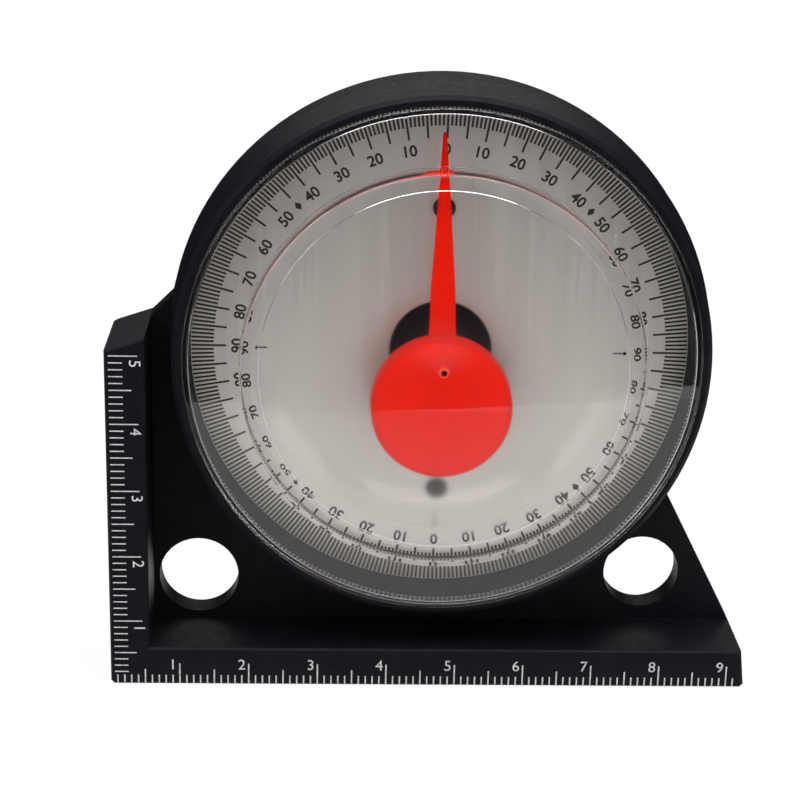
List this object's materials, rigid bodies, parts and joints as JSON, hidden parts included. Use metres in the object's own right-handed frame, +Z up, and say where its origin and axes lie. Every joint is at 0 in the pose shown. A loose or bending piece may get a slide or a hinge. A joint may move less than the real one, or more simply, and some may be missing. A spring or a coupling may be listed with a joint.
{
  "type": "inclinometer",
  "caption": "Pocket angle finder: L-shaped ruler housing with a round degree dial under a clear cover and a weighted needle that always points straight up.",
  "frame": {"origin": "on the foot's flat underside, straight below the dial's pivot axis and midway through the depth", "axes": "+X along the foot towards the end without a leg, +Y from the dial's viewer towards the flat back, +Z up from the foot through the dial's pivot axis"},
  "size_m": [0.0926, 0.0196, 0.0877],
  "materials": {
    "black_plastic": "satin black moulding",
    "dial_sheet": "satin silver plate with black print",
    "pin_plastic": "glossy black",
    "clear_plastic": "clear polished moulding",
    "red_plastic": "glossy bright red moulding",
    "slug_steel": "zinc-plated steel",
    "pin_steel": "ground steel",
    "bush_brass": "turned brass",
    "spacer_nylon": "natural nylon",
    "magnet_ferrite": "dark grey sintered ferrite"
  },
  "bodies": {
    "body": {"housing": "black_plastic", "dial_plate": "dial_sheet", "dial_pins": "pin_plastic", "clear_cover": "clear_plastic", "rear_bush": "bush_brass", "magnet_left": "magnet_ferrite", "magnet_right": "magnet_ferrite"},
    "pointer": {"pointer": "red_plastic", "counterweight": "slug_steel", "pivot_pin": "pin_steel", "front_washer": "spacer_nylon", "rear_sleeve": "spacer_nylon"}
  },
  "joints": [
    {"name": "pointer_swing", "type": "hinge", "parent": "body", "child": "pointer", "pos_m": [0, 0, 0.04875], "axis": [0, 1, 0], "continuous": true}
  ]
}
